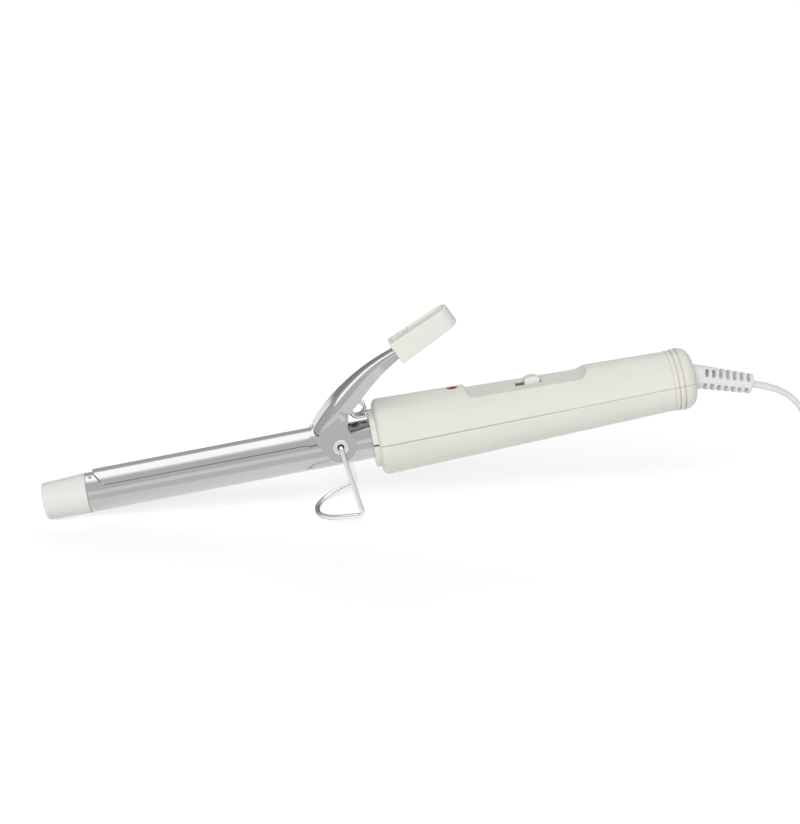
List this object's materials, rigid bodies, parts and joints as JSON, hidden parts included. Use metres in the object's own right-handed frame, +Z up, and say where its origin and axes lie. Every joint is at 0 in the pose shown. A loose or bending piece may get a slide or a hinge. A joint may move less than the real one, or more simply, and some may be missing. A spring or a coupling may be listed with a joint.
{
  "type": "curling iron",
  "caption": "Hair curling iron with a chrome barrel and sprung clamp, a wire stand, a tapered handle with slide switch and lamp, a slotted cord boot, flat flex and plug.",
  "frame": {"origin": "on the surface that the iron stands on, under the middle of the iron's box without its cord", "axes": "+X from the tip to the cord, along the surface; +Y across the iron; +Z up. The iron's axis leans up towards the cord."},
  "size_m": [0.5535, 0.0462, 0.0847],
  "materials": {
    "ivory_plastic": "satin ivory heat-resistant plastic",
    "pin_steel": "small steel pin, domed",
    "barrel_chrome": "bright chrome plate",
    "clamp_chrome": "bright chrome plate on pressed sheet",
    "stand_chrome": "bright plated wire",
    "eyelet_steel": "plated hollow rivet",
    "spring_steel": "plated spring wire",
    "handle_plastic": "satin warm off-white plastic",
    "thumb_plastic": "satin ivory heat-resistant plastic",
    "knob_plastic": "satin white plastic",
    "red_lens": "deep red transparent plastic",
    "lamp_glass": "small neon lamp",
    "switch_plastic": "black moulded plastic",
    "terminal_brass": "plain brass tabs",
    "fuse_metal": "tinned fuse case",
    "lead_insulation": "silicone insulation",
    "heater_ceramic": "grey ceramic heater plate",
    "spreader_aluminium": "extruded aluminium",
    "bush_phenolic": "brown phenolic resin",
    "screw_steel": "zinc-plated steel",
    "boot_pvc": "soft white PVC",
    "cord_pvc": "soft white PVC",
    "tie_plastic": "white strap",
    "plug_pvc": "moulded white PVC",
    "pin_nickel": "nickel-plated brass"
  },
  "bodies": {
    "iron": {"cool_tip": "ivory_plastic", "tip_pin": "pin_steel", "barrel_tube": "barrel_chrome", "ptc_heater": "heater_ceramic", "heat_spreaders": "spreader_aluminium", "barrel_bush": "bush_phenolic", "handle_upper_shell": "handle_plastic", "handle_lower_shell": "handle_plastic", "case_screws": "screw_steel", "indicator_lens": "red_lens", "neon_lamp": "lamp_glass", "switch_body": "switch_plastic", "switch_terminals": "terminal_brass", "thermal_fuse": "fuse_metal", "switched_lead": "lead_insulation", "live_lead": "lead_insulation", "neutral_lead": "lead_insulation", "pivot_eyelets": "eyelet_steel", "clamp_spring": "spring_steel", "strain_relief": "boot_pvc", "cord_lead": "cord_pvc", "cord_coil": "cord_pvc", "cord_tie": "tie_plastic", "plug_body": "plug_pvc", "plug_pins": "pin_nickel"},
    "clamp": {"clamp_spoon": "clamp_chrome", "clamp_lever": "clamp_chrome", "thumb_rest": "thumb_plastic"},
    "stand": {"wire_stand": "stand_chrome"},
    "switch": {"switch_knob": "knob_plastic"}
  },
  "joints": [
    {"name": "clamp_hinge", "type": "hinge", "parent": "iron", "child": "clamp", "pos_m": [-0.02445, 0, 0.02998], "axis": [0, 1, 0], "range_deg": [0, 15], "stiffness_Nm_per_rad": 0.4, "springref_deg": -14.32, "deforming": ["clamp_spring"]},
    {"name": "stand_hinge", "type": "hinge", "parent": "iron", "child": "stand", "pos_m": [-0.02445, 0, 0.02998], "axis": [0, 1, 0], "range_deg": [-65, 40]},
    {"name": "switch_slide", "type": "slide", "parent": "iron", "child": "switch", "axis": [-0.9839, 0, -0.1787], "range_m": [0, 0.0032]}
  ]
}
